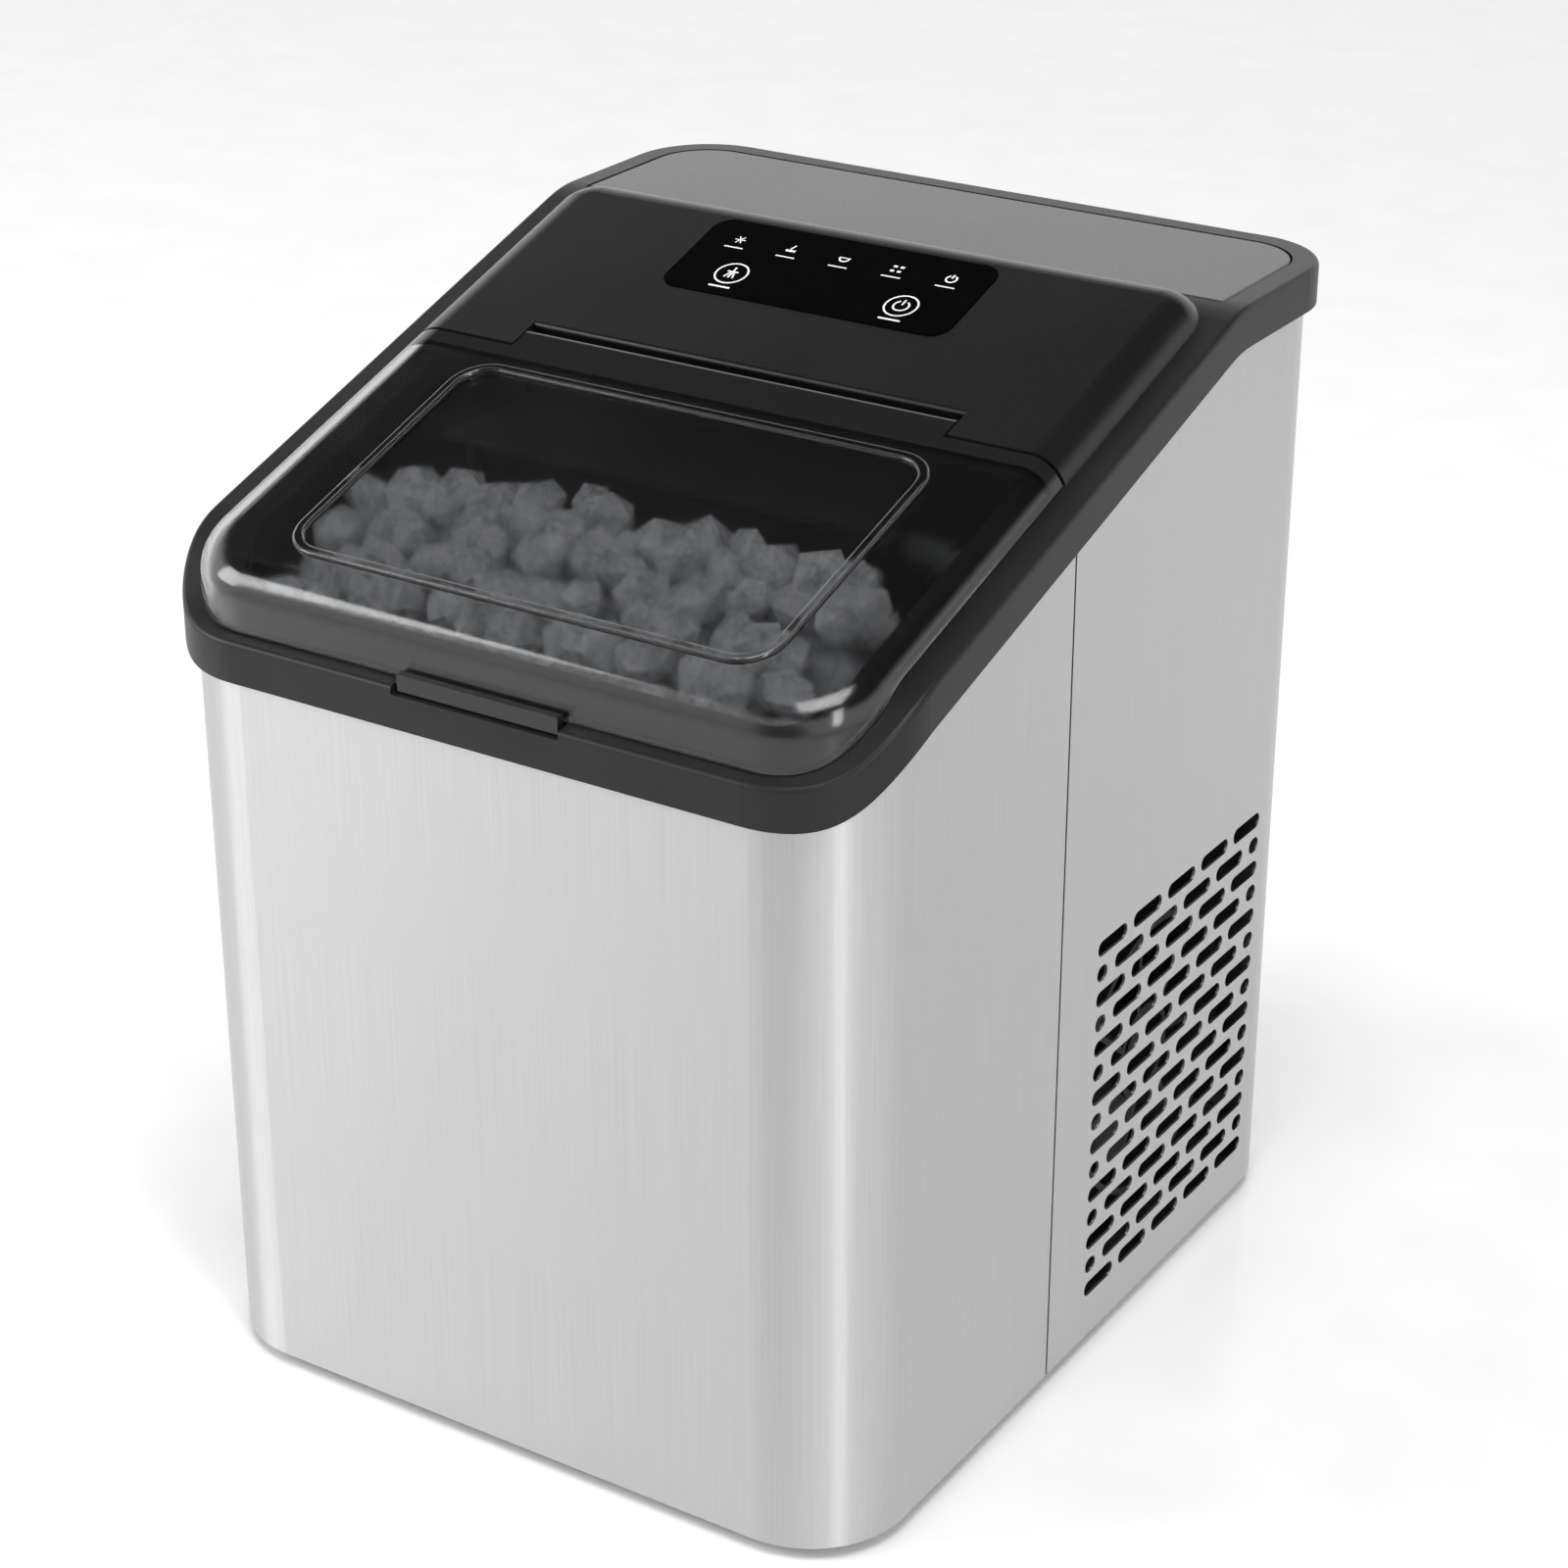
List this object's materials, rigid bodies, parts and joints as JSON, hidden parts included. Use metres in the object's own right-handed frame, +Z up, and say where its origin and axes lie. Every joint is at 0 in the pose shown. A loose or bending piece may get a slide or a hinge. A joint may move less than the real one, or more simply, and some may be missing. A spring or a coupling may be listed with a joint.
{
  "type": "ice maker",
  "caption": "Compact countertop ice maker: brushed steel cabinet, black rim, sloping smoked lid over an ice basket, touch panel and vented sides.",
  "frame": {"origin": "centre of the footprint, on the surface the feet stand on", "axes": "+Z up, +Y towards the back (the lid opens at the front, -Y), +X to the right seen from the front"},
  "size_m": [0.229, 0.267, 0.3064],
  "materials": {
    "steel_cabinet": "brushed stainless sheet",
    "galvanised": "zinc-plated sheet",
    "rubber": "moulded rubber",
    "rim_plastic": "satin moulded ABS",
    "panel_plastic": "semi-gloss moulded ABS",
    "lid_plastic": "smoked clear acrylic",
    "overlay": "gloss printed film",
    "circuit_board": "glass-epoxy laminate",
    "electronics": "moulded components",
    "spring_steel": "bright spring steel",
    "tank_plastic": "white moulded polypropylene",
    "foam": "rigid polyurethane foam",
    "basket_plastic": "grey moulded polypropylene",
    "dark_plastic": "moulded nylon",
    "nickel": "nickel-plated copper",
    "copper": "drawn copper tube",
    "aluminium": "bare aluminium fin stock",
    "black_paint": "black enamel",
    "clear_hose": "silicone hose",
    "steel_bright": "bright steel"
  },
  "bodies": {
    "cabinet_body": {"front_wrap": "steel_cabinet", "rear_wrap": "steel_cabinet", "base_pan": "galvanised", "rubber_feet": "rubber", "top_bezel": "rim_plastic", "rear_top_cover": "rim_plastic", "control_panel_cover": "panel_plastic", "touch_panel_overlay": "overlay", "display_board": "circuit_board", "touch_springs": "spring_steel", "inner_tank": "tank_plastic", "tank_foam": "foam", "ice_basket": "basket_plastic", "ice_level_sensors": "dark_plastic", "water_level_probe": "dark_plastic", "evaporator_plate": "nickel", "evaporator_fingers": "nickel", "evaporator_tube": "nickel", "evaporator_bracket": "dark_plastic", "tray_bushes": "dark_plastic", "tray_motor": "dark_plastic", "tray_switches": "electronics", "water_pump_body": "dark_plastic", "pump_hose": "clear_hose", "drain_outlet": "tank_plastic", "bulkhead": "galvanised", "compressor_shell": "black_paint", "compressor_core": "steel_bright", "compressor_grommets": "rubber", "compressor_nuts": "steel_bright", "compressor_terminal_cover": "dark_plastic", "condenser_fins": "aluminium", "condenser_coil": "copper", "fan_shroud": "dark_plastic", "fan_motor": "electronics", "filter_drier": "copper", "capillary_tube": "copper", "discharge_line": "copper", "suction_line": "copper", "hot_gas_valve": "electronics", "hot_gas_line": "copper", "power_board_box": "dark_plastic", "power_board": "circuit_board", "board_parts": "electronics", "ribbon_cable": "electronics", "power_inlet": "dark_plastic", "rear_screws": "steel_bright"},
    "lid_body": {"lid": "lid_plastic", "lid_hinge_pins": "steel_bright"},
    "tray_body": {"water_tray": "tank_plastic", "tray_shaft": "steel_bright"},
    "pusher_body": {"ice_pusher": "dark_plastic"},
    "fan_body": {"fan_blade": "dark_plastic"},
    "impeller_body": {"pump_impeller": "tank_plastic"},
    "plug_body": {"drain_plug": "dark_plastic", "drain_plug_seal": "rubber"}
  },
  "joints": [
    {"name": "lid_hinge", "type": "hinge", "parent": "cabinet_body", "child": "lid_body", "pos_m": [0, -0.01211, 0.28209], "axis": [-1, 0, 0], "range_deg": [0, 110]},
    {"name": "tray_tilt", "type": "hinge", "parent": "cabinet_body", "child": "tray_body", "pos_m": [0, 0.008, 0.23799], "axis": [1, 0, 0], "range_deg": [0, 60]},
    {"name": "pusher_swing", "type": "hinge", "parent": "cabinet_body", "child": "pusher_body", "pos_m": [0, -0.046, 0.26199], "axis": [-1, 0, 0], "range_deg": [0, 20]},
    {"name": "fan_spin", "type": "hinge", "parent": "cabinet_body", "child": "fan_body", "pos_m": [0.0902, 0.06, 0.0698], "axis": [1, 0, 0], "continuous": true},
    {"name": "impeller_spin", "type": "hinge", "parent": "cabinet_body", "child": "impeller_body", "pos_m": [0.05, -0.0622, 0.02], "axis": [0, 0, 1], "continuous": true},
    {"name": "drain_plug_pull", "type": "slide", "parent": "cabinet_body", "child": "plug_body", "axis": [-1, 0, 0], "range_m": [0, 0.025]}
  ],
  "couplings": [
    {"joint": "pusher_swing", "follows": "tray_tilt", "ratio": 0.33333}
  ]
}
